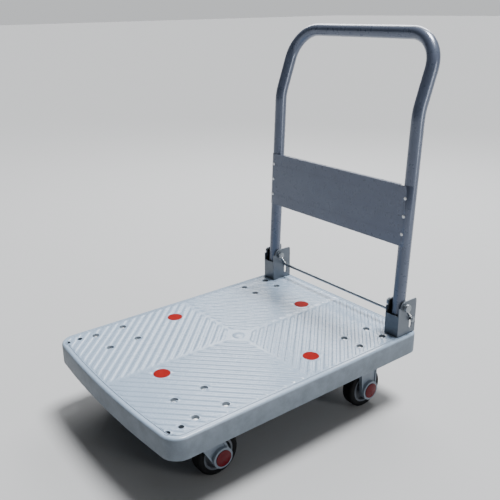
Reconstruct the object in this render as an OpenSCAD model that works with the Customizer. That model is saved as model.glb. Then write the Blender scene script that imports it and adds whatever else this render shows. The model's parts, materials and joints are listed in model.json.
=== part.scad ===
// Flatbed platform truck: a moulded deck on two swivel and two fixed casters, with a folding push handle.
// Millimetres. +Z is up, Z = 0 is the floor, X = 0 is the middle of the width, the handle is at the +Y end.
// Y = 0 is the middle of the whole length, from the bowed front edge to the back of the handle.
// "left" is the -X side and "right" is the +X side.

/* [Deck] */
// Length of the deck without the bow of its front edge
deck_l = 704; // [600:1:900]
// Width of the deck
deck_w = 520; // [440:1:640]
// Depth of the moulded skirt
skirt_h = 50; // [44:1:64]
// Bulge of the front edge at mid width
front_bow = 10.5; // [4:0.5:20]
// Corner radius at the front end
front_corner_r = 40; // [25:1:60]
// Corner radius at the handle end
rear_corner_r = 28; // [20:1:45]
// Rounding of the deck's top edge
edge_r = 6; // [3:0.5:8]
// Thickness of the deck's top and skirt
deck_wall = 4; // [3:0.5:5]
// Thickness of the ribs under the deck
rib_t = 3; // [2:0.5:4]
// Depth of the ribs under the deck
rib_depth = 28; // [16:1:34]
// Radius of the plain round pad in the middle of the deck
pad_r = 15; // [10:1:25]
// Height of the round pad above the deck
pad_h = 0.8; // [0.4:0.1:2]

/* [Deck caps and corner holes] */
// Radius of a red deck cap
cap_r = 18.7; // [14:0.1:24]
// Distance from the long side to the outer caps
cap_side_inset = 77.6; // [60:0.1:110]
// Distance of the outer caps from the cross seam
cap_seam_y = 66.6; // [45:0.1:90]
// Distance from the deck's end to the end caps
cap_end_inset = 116.7; // [90:0.1:140]
// Distance of the end caps from the lengthwise seam
cap_seam_x = 35.6; // [28:0.1:60]
// Radius of the holes at the front corners
corner_hole_r = 6.25; // [4:0.05:8]
// Distance from the long side to the corner holes
corner_hole_side = 34; // [28:0.5:60]
// Distance from the front end to the first corner hole
corner_hole_end = 14.5; // [13:0.5:25]
// Distance between the two holes of a corner
corner_hole_gap = 30.5; // [22:0.5:45]

/* [Handle] */
// Distance from the long side to the middle of the upright
handle_inset = 31.5; // [30:0.5:60]
// Outer diameter of the handle tube
tube_d = 30; // [22:0.5:36]
// Wall of the handle tube
tube_wall = 1.6; // [1:0.1:3]
// Backward lean of the uprights in degrees
handle_lean = 2.8; // [1:0.1:5]
// Length of upright above the pivot, up to its bend
upright_l = 433; // [330:1:560]
// Angle of the backward bend
bend_angle = 17.2; // [5:0.1:22]
// Radius of the backward bend
bend_r = 116; // [70:1:150]
// Length of the inclined straight between the bend and the top corner
upper_straight = 77; // [40:1:200]
// Radius of the two top corners
top_corner_r = 78; // [50:1:90]

/* [Handle panel] */
// Height of the sheet panel
panel_h = 141; // [100:1:180]
// Height of the panel's lower edge above the pivot
panel_z = 149; // [110:1:180]
// Thickness of the sheet
sheet_t = 1.2; // [0.8:0.1:2]
// Depth of the panel's bent edges
flange_d = 10; // [6:0.5:14]
// How far the panel wraps round each upright in degrees
wrap_angle = 63; // [40:1:80]
// Distance between the rivets of one side
rivet_gap = 42; // [30:0.5:48]

/* [Brackets and lock] */
// Length of a bracket along the deck
bracket_l = 62; // [58:1:80]
// Distance from the deck's end to the bracket
bracket_inset = 6.5; // [6:0.5:20]
// Thickness of the bracket's steel
bracket_t = 2.5; // [2:0.1:4]
// Height of the handle pivot above the deck
pivot_h = 73; // [68:0.5:90]
// Distance from the bracket's front face to the pivot
pivot_back = 21.5; // [21.5:0.5:26]
// Diameter of the pivot bolt
pivot_d = 10; // [8:0.5:12]
// Thickness of a plastic liner beside the upright
liner_t = 2.4; // [1.5:0.1:4]
// Diameter of the lock rod
rod_d = 8; // [6:0.5:10]
// Height of the lock rod above the deck at rest
rod_h = 38; // [36:0.5:42]
// Travel of the lock rod when it is pressed down
rod_travel = 20; // [10:0.5:20]

/* [Casters] */
// Wheel diameter
wheel_d = 100; // [75:1:125]
// Tyre width
tyre_w = 30; // [24:0.5:36]
// Thickness of the tyre's tread
tread_t = 13; // [8:0.5:16]
// Distance of the swivel wheel's axle behind its kingpin
trail = 31; // [20:0.5:38]
// Diameter of the wheel axles
axle_d = 10; // [8:0.5:12]
// Diameter of the kingpins
kingpin_d = 10; // [8:0.5:12]
// Distance from the long side to the swivel casters
swivel_side = 80.6; // [75:0.1:110]
// Distance from the deck's end to the swivel casters
swivel_end = 119; // [100:0.5:140]
// Spacing of the swivel caster's bolts across the deck
swivel_bolts_x = 77; // [76:0.5:90]
// Spacing of the swivel caster's bolts along the deck
swivel_bolts_y = 73; // [72:0.5:90]
// Distance from the long side to the fixed casters
rigid_side = 65; // [58:0.5:110]
// Distance from the deck's end to the fixed casters
rigid_end = 128; // [118:0.5:150]
// Spacing of the fixed caster's bolts across the deck
rigid_bolts_x = 50; // [46:0.5:60]
// Spacing of the fixed caster's bolts along the deck
rigid_bolts_y = 76.5; // [74:0.5:90]
// Diameter of the bolts that hold the casters and brackets
bolt_d = 8; // [6:0.5:8.5]
// Depth of a caster bolt's head below the deck
bolt_sink = 4; // [2:0.5:6]

/* [Hidden] */
$fn = 48;
SIDES = [-1, 1];

// Clearances and small fixed sizes
run_fit = 0.05;        // radial clearance of a pin that turns or slides in its hole
bolt_fit = 0.4;        // radial clearance of a bolt in its hole
gap = 0.3;             // clearance between pieces that only lie close
eps = 0.01;            // overlap that joins two shapes of one piece
seam = 0.02;           // height and half length of the seam between the tube's bend and the straight above it
over = 1;              // how far a cut runs past the face it opens
corner_steps = 6;      // facets of the deck's corners, bowed edge and rounded top edge
bow_steps = 12;
edge_steps = 3;

// Colours
deck_grey = [0.72, 0.76, 0.80];
cap_red = [0.80, 0.16, 0.15];
paint_blue = [0.45, 0.49, 0.56];
bracket_grey = [0.52, 0.55, 0.59];
zinc = [0.78, 0.79, 0.80];
black_plastic = [0.08, 0.08, 0.09];
fork_grey = [0.60, 0.63, 0.66];
hub_red = [0.55, 0.10, 0.13];
tyre_black = [0.07, 0.07, 0.08];

// Caster stack, from the floor up
wheel_r = wheel_d / 2;
axle_z = wheel_r;
nut_h = 0.8 * kingpin_d;
crown_z = wheel_d + nut_h + 4;         // underside of the fork's crown
crown_t = 11;
crown_r = 31;
crown_top = crown_z + crown_t;
race_gap = 1;                          // between the crown and the race ring
race_r = 22;                           // radius of the ball circle
ball_r = 3;
ball_count = 16;
race_z = crown_top + race_gap / 2;
race_ring_h = 4;
race_ring_in = race_r - 5;
race_ring_out = race_r + 7;
plate_t = 3;
plate_z = crown_top + race_gap + race_ring_h;
mount_z = plate_z + plate_t;           // underside of the deck
deck_top = mount_z + skirt_h;
plate_edge = 10;                       // from a bolt to the edge of its plate

// Handle path, in the plane of an upright, measured from the pivot
tube_r = tube_d / 2;
bend_y = bend_r * (1 - cos(bend_angle));
bend_top = upright_l + bend_r * sin(bend_angle);
upper_l = upper_straight + top_corner_r;
handle_reach = (bend_y + upper_l * sin(bend_angle)) * cos(handle_lean)
             + (bend_top + upper_l * cos(bend_angle)) * sin(handle_lean) + tube_r;

// Places along the truck
pivot_inset = bracket_inset + bracket_l - pivot_back;
deck_y = (front_bow + pivot_inset - handle_reach) / 2;
deck_front = deck_y - deck_l / 2;
deck_rear = deck_y + deck_l / 2;
bracket_y = deck_rear - bracket_inset - bracket_l;
pivot_y = bracket_y + pivot_back;
pivot_z = deck_top + pivot_h;
handle_x = deck_w / 2 - handle_inset;

// Bracket and lock
gasket_t = 1;
bracket_z = deck_top + gasket_t;
bracket_in = tube_r + liner_t + gap + 0.05;     // half of the width inside
bracket_out = bracket_in + bracket_t;
plate_margin = 15;                              // steel round the pivot
plate_corner = 6;                               // rounding of a side plate's rear-top corner
bracket_top = pivot_z + plate_margin;
web_top = pivot_z - tube_r - 5;                 // the front web stays below the folding tube
rod_r = rod_d / 2;
rod_back = tube_r + 8;
rod_y = pivot_y + rod_back;
rod_z = deck_top + rod_h;
foot_gap = 1;
rod_dist = norm([rod_back, pivot_z - rod_z]);
foot_r = rod_dist - rod_r - foot_gap;           // what the foot sweeps as the handle folds
plug_t = 2;
// rounded down to a tenth, so that the tube's joints meet exactly
foot_l = floor(10 * (sqrt(foot_r * foot_r - tube_r * tube_r) - plug_t)) / 10;
plug_l = 12;                                    // how far a plug reaches into the tube
pivot_r = pivot_d / 2;
head_gap = 5.4;                                 // room for a spring beside a plate
head_t = 5;
head_r = 0.95 * pivot_d;
pivot_tail = 1;                                 // how far a pivot bolt or the rod stands out of its stop
spring_wire = 1.2;
spring_r = head_gap / 2 - gap;
spring_x = bracket_out + head_gap / 2;
retainer_t = 2.5;
retainer_r = rod_r + 3;
spring_end = 2.5;                               // from an eye to the coils

// Bolts
bolt_r = bolt_d / 2;
bolt_head_r = bolt_d;
bolt_head_h = 0.55 * bolt_d;
bolt_nut_r = 0.94 * bolt_d;
bolt_nut_h = 0.8 * bolt_d;
sink_r = bolt_head_r + 0.5;
boss_r = sink_r + 3.5;
bracket_head_h = 0.6 * bolt_d;
bolt_tail = 2;                                  // how far a bolt stands out of its nut
pad_plate_t = 8;                                // moulded pad over a caster's plate
pad_edge = 15;
bracket_boss_h = 14;
bracket_bolts_y = [bracket_y + 16, bracket_y + bracket_l - 9];

// Screws that hold a fixed fork to its plate
screw_r = 4;
screw_head_r = 7;
screw_l = 14;
screw_y = 16;
rigid_crown_half = 27;

// Deck details
cap_t = 2.2;                                    // thickness of a deck cap's disc
cap_dome = 0.6;
cap_bevel = 2;
cap_stem = 9;
cap_stem_t = 2;
cap_hole_r = cap_r - 2.5;                       // hole under a cap for its stem
cap_hole_depth = 16;
kingpin_head_h = 5;

// Handle rivets
rivet_r = 2;
rivet_head_h = 1.4;
rivet_tail = 2;                                 // inside the tube
rivet_zs = [for (k = [-1:1]) panel_z + panel_h / 2 + k * rivet_gap];

// Wheel
hub_half = tyre_w / 2 + 1;
leg_in = tyre_w / 2 + 2;
leg_t = 7;
rim_t = 2.5;
rim_w = 4;
boss_out = leg_in + leg_t + rim_t + 6;          // outer face of the axle boss
boss_outer_r = 23.5;
recess_r = 13.5;
recess_d = 9;
axle_r = axle_d / 2;
axle_head_r = 0.95 * axle_d;
axle_head_h = 0.62 * axle_d;
axle_tail = 0.5;                                // how far an axle stands out of its nut
bearing_r = 13;
bearing_w = 8;
core_r = wheel_r - tread_t;
hub_cap_r = 18.5;
hub_cap_h = 4;

// Where the four casters stand
front_axle_y = deck_front + swivel_end + trail;
swivel_x = deck_w / 2 - swivel_side;
swivel_y = deck_front + swivel_end;
rigid_x = deck_w / 2 - rigid_side;
rigid_y = deck_rear - rigid_end;

// Ribs under the deck: clear of the holes, and through the caster pads
side_rib_inset = 14;
front_rib_gap = 10;
rib_xs = [2 * cap_seam_x, swivel_x - swivel_bolts_x / 2, deck_w / 2 - deck_wall - side_rib_inset];
rib_ys = [deck_front + corner_hole_end + corner_hole_gap + corner_hole_r + front_rib_gap, swivel_y, deck_y,
          rigid_y - rigid_bolts_y, rigid_y];

// Centres of the deck caps: the pattern repeats after half a turn
cap_places = [
    for (s = SIDES) [s * (deck_w / 2 - cap_side_inset), deck_y + s * cap_seam_y],
    for (s = SIDES) [-s * cap_seam_x, deck_y + s * (deck_l / 2 - cap_end_inset)],
];
caster_bolt_places = [
    for (s = SIDES, i = SIDES, j = SIDES)
        [s * swivel_x + i * swivel_bolts_x / 2, swivel_y + j * swivel_bolts_y / 2],
    for (s = SIDES, i = SIDES, j = SIDES)
        [s * rigid_x + i * rigid_bolts_x / 2, rigid_y + j * rigid_bolts_y / 2],
];
bracket_bolt_places = [for (s = SIDES, y = bracket_bolts_y) [s * handle_x, y]];
corner_hole_places = [
    for (s = SIDES, k = [0, 1])
        [s * (deck_w / 2 - corner_hole_side), deck_front + corner_hole_end + k * corner_hole_gap],
];

// Points of an arc, both ends included
function arc(c, r, a0, a1, n) = [for (i = [0:n]) let(a = a0 + (a1 - a0) * i / n) c + r * [cos(a), sin(a)]];

// Outline of the deck, moved inwards by t
bow_half = deck_w / 2 - front_corner_r;
bow_r = (bow_half * bow_half + front_bow * front_bow) / (2 * front_bow);
bow_a = asin(bow_half / bow_r);
function deck_outline(t) = concat(
    arc([deck_w / 2 - rear_corner_r, deck_rear - rear_corner_r], rear_corner_r - t, 0, 90, corner_steps),
    arc([rear_corner_r - deck_w / 2, deck_rear - rear_corner_r], rear_corner_r - t, 90, 180, corner_steps),
    arc([-bow_half, deck_front + front_corner_r], front_corner_r - t, 180, 265, corner_steps),
    arc([0, deck_front - front_bow + bow_r], bow_r - t, 270 - bow_a, 270 + bow_a, bow_steps),
    arc([bow_half, deck_front + front_corner_r], front_corner_r - t, 275, 360, corner_steps)
);

// A shape drawn in Y and Z, made t thick along X from x
module slab_x(x, t) {
    translate([x, 0, 0]) rotate([90, 0, 90]) linear_extrude(t) children();
}

// A cylinder along X from x, at [y, z]
module rod_x(x, p, r, l) {
    translate([x, p[0], p[1]]) rotate([0, 90, 0]) cylinder(r = r, h = l);
}

// A hexagon along X from x, at [y, z]
module hex_x(x, p, r, l) {
    translate([x, p[0], p[1]]) rotate([0, 90, 0]) cylinder(r = r, h = l, $fn = 6);
}

// Copies at a list of places in plan
module at_places(places) {
    for (p = places) translate([p[0], p[1], 0]) children();
}

// A side of the truck: what is drawn for the right side is mirrored for the left
module on_side(s) {
    mirror([s < 0 ? 1 : 0, 0, 0]) children();
}

// ---- deck ----

module deck_outer() {
    hull() {
        translate([0, 0, mount_z]) linear_extrude(skirt_h - edge_r) polygon(deck_outline(0));
        for (k = [1:edge_steps]) {
            a = 90 * k / edge_steps;
            translate([0, 0, deck_top - edge_r])
                linear_extrude(edge_r * sin(a)) polygon(deck_outline(edge_r * (1 - cos(a))));
        }
    }
}

module deck_ribs() {
    translate([0, 0, deck_top - deck_wall - rib_depth]) linear_extrude(rib_depth + over) intersection() {
        polygon(deck_outline(deck_wall / 2));
        union() {
            for (s = SIDES, x = rib_xs)
                translate([s * x - rib_t / 2, deck_front - front_bow]) square([rib_t, 2 * deck_l]);
            for (y = rib_ys) translate([-deck_w, y - rib_t / 2]) square([2 * deck_w, rib_t]);
        }
    }
}

module caster_pad(x, y, bolts_x, bolts_y) {
    w = bolts_x + 2 * pad_edge;
    l = bolts_y + 2 * pad_edge;
    translate([x - w / 2, y - l / 2, mount_z]) cube([w, l, pad_plate_t]);
    for (i = SIDES, j = SIDES)
        translate([x + i * bolts_x / 2, y + j * bolts_y / 2, mount_z]) cylinder(r = boss_r, h = skirt_h - 1);
}

module deck() {
    color(deck_grey) difference() {
        union() {
            difference() {
                deck_outer();
                translate([0, 0, mount_z - over])
                    linear_extrude(skirt_h - deck_wall + over) polygon(deck_outline(deck_wall));
            }
            deck_ribs();
            for (s = SIDES) {
                caster_pad(s * swivel_x, swivel_y, swivel_bolts_x, swivel_bolts_y);
                caster_pad(s * rigid_x, rigid_y, rigid_bolts_x, rigid_bolts_y);
            }
            at_places(bracket_bolt_places)
                translate([0, 0, deck_top - deck_wall - bracket_boss_h])
                    cylinder(r = boss_r, h = bracket_boss_h + over);
            translate([0, deck_y, deck_top - over]) cylinder(r = pad_r, h = pad_h + over);
        }
        // caster bolts: sunk heads and clearance holes
        at_places(caster_bolt_places) {
            translate([0, 0, mount_z - over]) cylinder(r = bolt_r + bolt_fit, h = skirt_h + 2 * over);
            translate([0, 0, deck_top - bolt_sink - bolt_head_h]) cylinder(r = sink_r, h = skirt_h);
        }
        at_places(bracket_bolt_places)
            translate([0, 0, mount_z]) cylinder(r = bolt_r + bolt_fit, h = skirt_h + over);
        at_places(corner_hole_places)
            translate([0, 0, mount_z]) cylinder(r = corner_hole_r, h = skirt_h + over);
        // deck caps: a round seat and a hole for the stem
        at_places(cap_places) {
            translate([0, 0, deck_top - cap_t]) cylinder(r = cap_r + gap, h = cap_t + over);
            translate([0, 0, deck_top - cap_hole_depth]) cylinder(r = cap_hole_r, h = cap_hole_depth + over);
        }
        // room for the kingpin heads
        for (s = SIDES)
            translate([s * swivel_x, swivel_y, mount_z - over])
                cylinder(r = kingpin_d + 3, h = pad_plate_t + 2 * over);
    }
}

module deck_caps() {
    stem_r = cap_hole_r - gap;
    color(cap_red) at_places(cap_places) translate([0, 0, deck_top]) {
        translate([0, 0, -cap_t]) cylinder(r = cap_r, h = cap_t);
        cylinder(r1 = cap_r, r2 = cap_r - cap_bevel, h = cap_dome);
        difference() {
            translate([0, 0, -cap_t - cap_stem]) cylinder(r = stem_r, h = cap_stem + eps);
            translate([0, 0, -cap_t - cap_stem - over])
                cylinder(r = stem_r - cap_stem_t, h = cap_stem + over);
        }
    }
}

// ---- brackets, pivot and lock ----

// Side plate of a bracket: rounded round the pivot at the front, with a small corner at the rear
module bracket_side_shape() {
    rear = bracket_y + bracket_l;
    difference() {
        union() {
            translate([bracket_y, bracket_z]) square([bracket_l, pivot_z - bracket_z]);
            translate([pivot_y, pivot_z]) circle(r = plate_margin);
            translate([pivot_y, bracket_z]) square([rear - pivot_y - plate_corner, bracket_top - bracket_z]);
            translate([pivot_y, bracket_z])
                square([rear - pivot_y, bracket_top - bracket_z - plate_corner]);
            translate([rear - plate_corner, bracket_top - plate_corner]) circle(r = plate_corner);
        }
        translate([pivot_y, pivot_z]) circle(r = pivot_r + run_fit);
        rod_slot();
    }
}

module rod_slot() {
    slot_r = rod_r + gap;
    for (z = [rod_z, rod_z - rod_travel]) translate([rod_y, z]) circle(r = slot_r);
    translate([rod_y - slot_r, rod_z - rod_travel]) square([2 * slot_r, rod_travel]);
}

module bracket(s) {
    color(bracket_grey) on_side(s) translate([handle_x, 0, 0]) difference() {
        union() {
            slab_x(-bracket_out, bracket_t) bracket_side_shape();
            slab_x(bracket_in, bracket_t) bracket_side_shape();
            translate([-bracket_out, bracket_y, bracket_z])
                cube([2 * bracket_out, bracket_t, web_top - bracket_z]);
            translate([-bracket_out, bracket_y, bracket_z]) cube([2 * bracket_out, bracket_l, bracket_t]);
        }
        for (y = bracket_bolts_y)
            translate([0, y, bracket_z - over]) cylinder(r = bolt_r + bolt_fit, h = bracket_t + 2 * over);
    }
}

module bracket_gaskets() {
    color(black_plastic) for (s = SIDES) difference() {
        translate([s * handle_x - bracket_out, bracket_y, deck_top])
            cube([2 * bracket_out, bracket_l, gasket_t]);
        for (y = bracket_bolts_y) translate([s * handle_x, y, deck_top - over])
            cylinder(r = bolt_r + bolt_fit, h = gasket_t + 2 * over);
    }
}

module bracket_bolts() {
    head_z = bracket_z + bracket_t;
    shank_l = head_z - deck_top + deck_wall + bracket_boss_h + bolt_nut_h + bolt_tail;
    color(zinc) at_places(bracket_bolt_places) translate([0, 0, head_z]) {
        cylinder(r = bolt_nut_r, h = bracket_head_h, $fn = 6);
        translate([0, 0, -shank_l]) cylinder(r = bolt_r, h = shank_l);
    }
}

module bracket_nuts() {
    nut_z = deck_top - deck_wall - bracket_boss_h - bolt_nut_h;
    color(zinc) at_places(bracket_bolt_places) translate([0, 0, nut_z]) difference() {
        cylinder(r = bolt_nut_r, h = bolt_nut_h, $fn = 6);
        translate([0, 0, -over]) cylinder(r = bolt_r, h = bolt_nut_h + 2 * over);
    }
}

// A liner fills the side of the channel from just behind the web to just before the lock rod
module liner_shape() {
    front = bracket_y + bracket_t + 0.5;
    rear = rod_y - rod_r - 2;
    bottom = bracket_z + bracket_t + bracket_head_h + 1;
    liner_r = plate_margin - 1;
    difference() {
        union() {
            translate([pivot_y, pivot_z]) circle(r = liner_r);
            translate([pivot_y - liner_r, bottom]) square([rear - pivot_y + liner_r, pivot_z - bottom]);
            translate([front, bottom]) square([pivot_y - front, web_top + 8 - bottom]);
        }
        translate([pivot_y, pivot_z]) circle(r = pivot_r + run_fit);
    }
}

module pivot_liners(s) {
    color(black_plastic) on_side(s) translate([handle_x, 0, 0]) {
        slab_x(bracket_in - liner_t, liner_t) liner_shape();
        slab_x(-bracket_in, liner_t) liner_shape();
    }
}

module pivot_bolt(s) {
    outer = bracket_out + head_gap;
    color(zinc) on_side(s) translate([handle_x, 0, 0]) {
        rod_x(-outer - head_t - pivot_tail, [pivot_y, pivot_z], pivot_r, 2 * outer + head_t + pivot_tail);
        rod_x(outer, [pivot_y, pivot_z], head_r, head_t);
    }
}

module pivot_nuts() {
    outer = bracket_out + head_gap;
    color(zinc) for (s = SIDES) on_side(s) translate([handle_x, 0, 0]) difference() {
        hex_x(-outer - head_t, [pivot_y, pivot_z], head_r, head_t);
        rod_x(-outer - head_t - over, [pivot_y, pivot_z], pivot_r, head_t + 2 * over);
    }
}

module lock_rod() {
    half = handle_x + bracket_out + head_gap + retainer_t + pivot_tail;
    color(zinc) rod_x(-half, [rod_y, rod_z], rod_r, 2 * half);
}

module rod_retainers() {
    color(zinc) for (s = SIDES) on_side(s) difference() {
        rod_x(handle_x + bracket_out + head_gap, [rod_y, rod_z], retainer_r, retainer_t);
        rod_x(handle_x + bracket_out, [rod_y, rod_z], rod_r, 2 * head_gap + retainer_t);
    }
}

// A tension spring from the pivot to the lock rod: a coiled body with an eye at each end
module lock_spring(x) {
    eye_top = pivot_r + gap + spring_wire;
    eye_low = rod_r + gap + spring_wire;
    tilt = atan2(rod_back, pivot_z - rod_z);
    wire_l = rod_dist - eye_top - eye_low;
    difference() {
        translate([x, pivot_y, pivot_z]) rotate([tilt, 0, 0]) {
            translate([0, 0, -eye_top - wire_l - over]) cylinder(r = spring_wire, h = wire_l + 2 * over);
            translate([0, 0, -eye_top - wire_l + spring_end])
                cylinder(r = spring_r, h = wire_l - 2 * spring_end);
            rod_x(-spring_wire / 2, [0, 0], eye_top, spring_wire);
            rod_x(-spring_wire / 2, [0, -rod_dist], eye_low, spring_wire);
        }
        rod_x(x - head_gap, [pivot_y, pivot_z], pivot_r + gap, 2 * head_gap);
        rod_x(x - head_gap, [rod_y, rod_z], rod_r + gap, 2 * head_gap);
    }
}

module lock_springs(s) {
    color(zinc) on_side(s) translate([handle_x, 0, 0]) for (i = SIDES) lock_spring(i * spring_x);
}

// ---- handle ----

// A bend of a round bar that starts at the origin along +Z and turns towards +Y
module bar_bend(r, radius, angle) {
    translate([0, radius, 0]) rotate([0, -90, 0]) rotate([0, 0, -90])
        rotate_extrude(angle = angle) translate([radius, 0]) circle(r = r);
}

// Everything on the handle, in a frame with the pivot at its origin and the uprights along +Z
module handle_frame() {
    translate([0, pivot_y, pivot_z]) rotate([-handle_lean, 0, 0]) children();
}

// The frame at the end of the backward bend, turned about the bend's own centre
module after_bend() {
    translate([0, bend_r, upright_l]) rotate([-bend_angle, 0, 0]) translate([0, -bend_r, 0]) children();
}

// The handle's path filled with a bar of radius r; extra lengthens the feet
module handle_bar(r, extra) {
    for (s = SIDES) translate([s * handle_x, 0, 0]) {
        translate([0, 0, -foot_l - extra]) cylinder(r = r, h = foot_l + upright_l + extra);
        translate([0, 0, upright_l]) bar_bend(r, bend_r, bend_angle);
    }
    after_bend() {
        for (s = SIDES) {
            translate([s * handle_x, 0, 0]) cylinder(r = r, h = upper_straight);
            translate([s * handle_x, 0, -seam]) cylinder(r = r + seam, h = 2 * seam);
            translate([s * (handle_x - top_corner_r), 0, upper_straight]) rotate([90, 0, 0])
                mirror([s < 0 ? 1 : 0, 0, 0])
                    rotate_extrude(angle = 90) translate([top_corner_r, 0]) circle(r = r);
        }
        translate([top_corner_r - handle_x, 0, upper_l]) rotate([0, 90, 0])
            cylinder(r = r, h = 2 * (handle_x - top_corner_r));
    }
}

module at_rivets() {
    for (s = SIDES, z = rivet_zs) translate([s * handle_x, -tube_r, z]) rotate([90, 0, 0]) children();
}

// Holes for the rivets through the tube's wall and the sheet
module rivet_holes() {
    at_rivets() translate([0, 0, -2 * rivet_r]) cylinder(r = rivet_r + run_fit, h = 4 * rivet_r);
}

module handle_tube() {
    color(paint_blue) handle_frame() difference() {
        handle_bar(tube_r, 0);
        handle_bar(tube_r - tube_wall, over);
        rod_x(-deck_w, [0, 0], pivot_r + run_fit, 2 * deck_w);
        rivet_holes();
    }
}

module handle_panel() {
    flange_half = handle_x - tube_r - 6;
    front = -tube_r - run_fit - sheet_t;
    color(paint_blue) handle_frame() difference() {
        union() {
            translate([-handle_x, front, panel_z]) cube([2 * handle_x, sheet_t, panel_h]);
            for (z = [panel_z, panel_z + panel_h - sheet_t])
                translate([-flange_half, front, z]) cube([2 * flange_half, flange_d, sheet_t]);
            for (s = SIDES) on_side(s) translate([handle_x, 0, panel_z]) rotate([0, 0, -90])
                rotate_extrude(angle = wrap_angle)
                    translate([tube_r + run_fit, 0]) square([sheet_t, panel_h]);
        }
        rivet_holes();
    }
}

module panel_rivets() {
    color(zinc) handle_frame() at_rivets() translate([0, 0, sheet_t + run_fit]) {
        cylinder(r1 = 2 * rivet_r, r2 = 1.2 * rivet_r, h = rivet_head_h);
        translate([0, 0, -tube_wall - sheet_t - rivet_tail])
            cylinder(r = rivet_r, h = tube_wall + sheet_t + rivet_tail);
    }
}

module foot_plugs() {
    color(black_plastic) handle_frame() for (s = SIDES) translate([s * handle_x, 0, -foot_l]) {
        translate([0, 0, -plug_t]) cylinder(r = tube_r - eps, h = plug_t);
        cylinder(r = tube_r - tube_wall - run_fit, h = plug_l);
    }
}

// ---- casters ----

module plate_with_holes(w_holes, l_holes) {
    difference() {
        translate([-w_holes / 2 - plate_edge, -l_holes / 2 - plate_edge, plate_z])
            cube([w_holes + 2 * plate_edge, l_holes + 2 * plate_edge, plate_t]);
        for (i = SIDES, j = SIDES)
            translate([i * w_holes / 2, j * l_holes / 2, plate_z - over])
                cylinder(r = bolt_r + bolt_fit, h = plate_t + 2 * over);
        children();
    }
}

module race_groove() {
    translate([0, 0, race_z]) rotate_extrude() translate([race_r, 0]) circle(r = ball_r + gap);
}

module swivel_plate(s) {
    color(zinc) translate([s * swivel_x, swivel_y, 0]) {
        plate_with_holes(swivel_bolts_x, swivel_bolts_y) {
            translate([0, 0, plate_z - over]) cylinder(r = kingpin_d / 2, h = plate_t + 2 * over);
            race_groove();
        }
        difference() {
            translate([0, 0, plate_z - race_ring_h]) cylinder(r = race_ring_out, h = race_ring_h + eps);
            translate([0, 0, plate_z - race_ring_h - over])
                cylinder(r = race_ring_in, h = race_ring_h + 2 * over);
            race_groove();
        }
    }
}

module kingpin(s) {
    color(zinc) translate([s * swivel_x, swivel_y, 0]) {
        translate([0, 0, crown_z - nut_h - over])
            cylinder(r = kingpin_d / 2, h = mount_z - crown_z + nut_h + over);
        translate([0, 0, mount_z]) cylinder(r = 0.9 * kingpin_d, h = kingpin_head_h);
    }
}

module kingpin_nuts() {
    color(zinc) for (s = SIDES) translate([s * swivel_x, swivel_y, crown_z - nut_h - gap]) difference() {
        cylinder(r = 0.92 * kingpin_d, h = nut_h, $fn = 6);
        translate([0, 0, -over]) cylinder(r = kingpin_d / 2, h = nut_h + 2 * over);
    }
}

module race_balls(s) {
    color(zinc) translate([s * swivel_x, swivel_y, race_z])
        for (k = [0:ball_count - 1])
            rotate([0, 0, 360 * k / ball_count]) translate([race_r, 0, 0]) sphere(r = ball_r);
}

// The two legs of a fork with their raised rims and axle bosses; the child is the top of a leg, in Y and Z
module fork_legs(y) {
    for (s = SIDES) on_side(s) {
        slab_x(leg_in, leg_t) leg_hull(y, 0) children();
        slab_x(leg_in + leg_t - eps, rim_t) difference() {
            leg_hull(y, 0) children();
            leg_hull(y, rim_w) children();
        }
        rod_x(leg_in, [y, axle_z], boss_outer_r, boss_out - leg_in);
    }
}

module leg_hull(y, inset) {
    hull() {
        translate([y, axle_z]) circle(r = boss_outer_r - inset, $fn = 32);
        offset(delta = -inset) children();
    }
}

// What an axle needs in a fork: its hole, and a recess for its head and nut
module axle_holes(y) {
    rod_x(-boss_out - over, [y, axle_z], axle_r + run_fit, 2 * (boss_out + over));
    for (s = SIDES) on_side(s) rod_x(boss_out - recess_d, [y, axle_z], recess_r, recess_d + over);
}

module swivel_fork(s) {
    top_half = crown_r - 9;
    top_low = crown_z - 14;
    color(fork_grey) translate([s * swivel_x, swivel_y, 0]) difference() {
        union() {
            fork_legs(trail) translate([-top_half, top_low]) square([2 * top_half, crown_top - 1 - top_low]);
            translate([0, 0, crown_z]) cylinder(r = crown_r, h = crown_t);
        }
        translate([0, 0, crown_z - over]) cylinder(r = kingpin_d / 2 + run_fit, h = crown_t + 2 * over);
        race_groove();
        axle_holes(trail);
    }
}

// What a screw's shank and conical head take out of a plate
module countersink() {
    hole_r = screw_r + run_fit;
    top_r = screw_head_r + run_fit;
    rotate_extrude() polygon([
        [0, -over], [hole_r, -over], [hole_r, 0], [top_r, plate_t], [top_r, plate_t + over], [0, plate_t + over],
    ]);
}

module rigid_plate(s) {
    color(zinc) translate([s * rigid_x, rigid_y, 0]) plate_with_holes(rigid_bolts_x, rigid_bolts_y)
        at_fork_screws() translate([0, 0, plate_z]) countersink();
}

module at_fork_screws() {
    for (j = SIDES) translate([0, j * screw_y, 0]) children();
}

module rigid_fork(s) {
    crown_h = plate_z - crown_z;
    color(fork_grey) translate([s * rigid_x, rigid_y, 0]) difference() {
        union() {
            fork_legs(0) translate([-rigid_crown_half, crown_z]) square([2 * rigid_crown_half, crown_h]);
            translate([-leg_in - leg_t, -rigid_crown_half, crown_z])
                cube([2 * (leg_in + leg_t), 2 * rigid_crown_half, crown_h]);
        }
        axle_holes(0);
        at_fork_screws() translate([0, 0, plate_z - screw_l]) cylinder(r = screw_r, h = screw_l + over);
    }
}

module fork_screws() {
    color(zinc) for (s = SIDES) translate([s * rigid_x, rigid_y, 0]) at_fork_screws() {
        translate([0, 0, plate_z - screw_l + 1]) cylinder(r = screw_r, h = screw_l - 1 + eps);
        translate([0, 0, plate_z]) cylinder(r1 = screw_r, r2 = screw_head_r, h = plate_t);
    }
}

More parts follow.
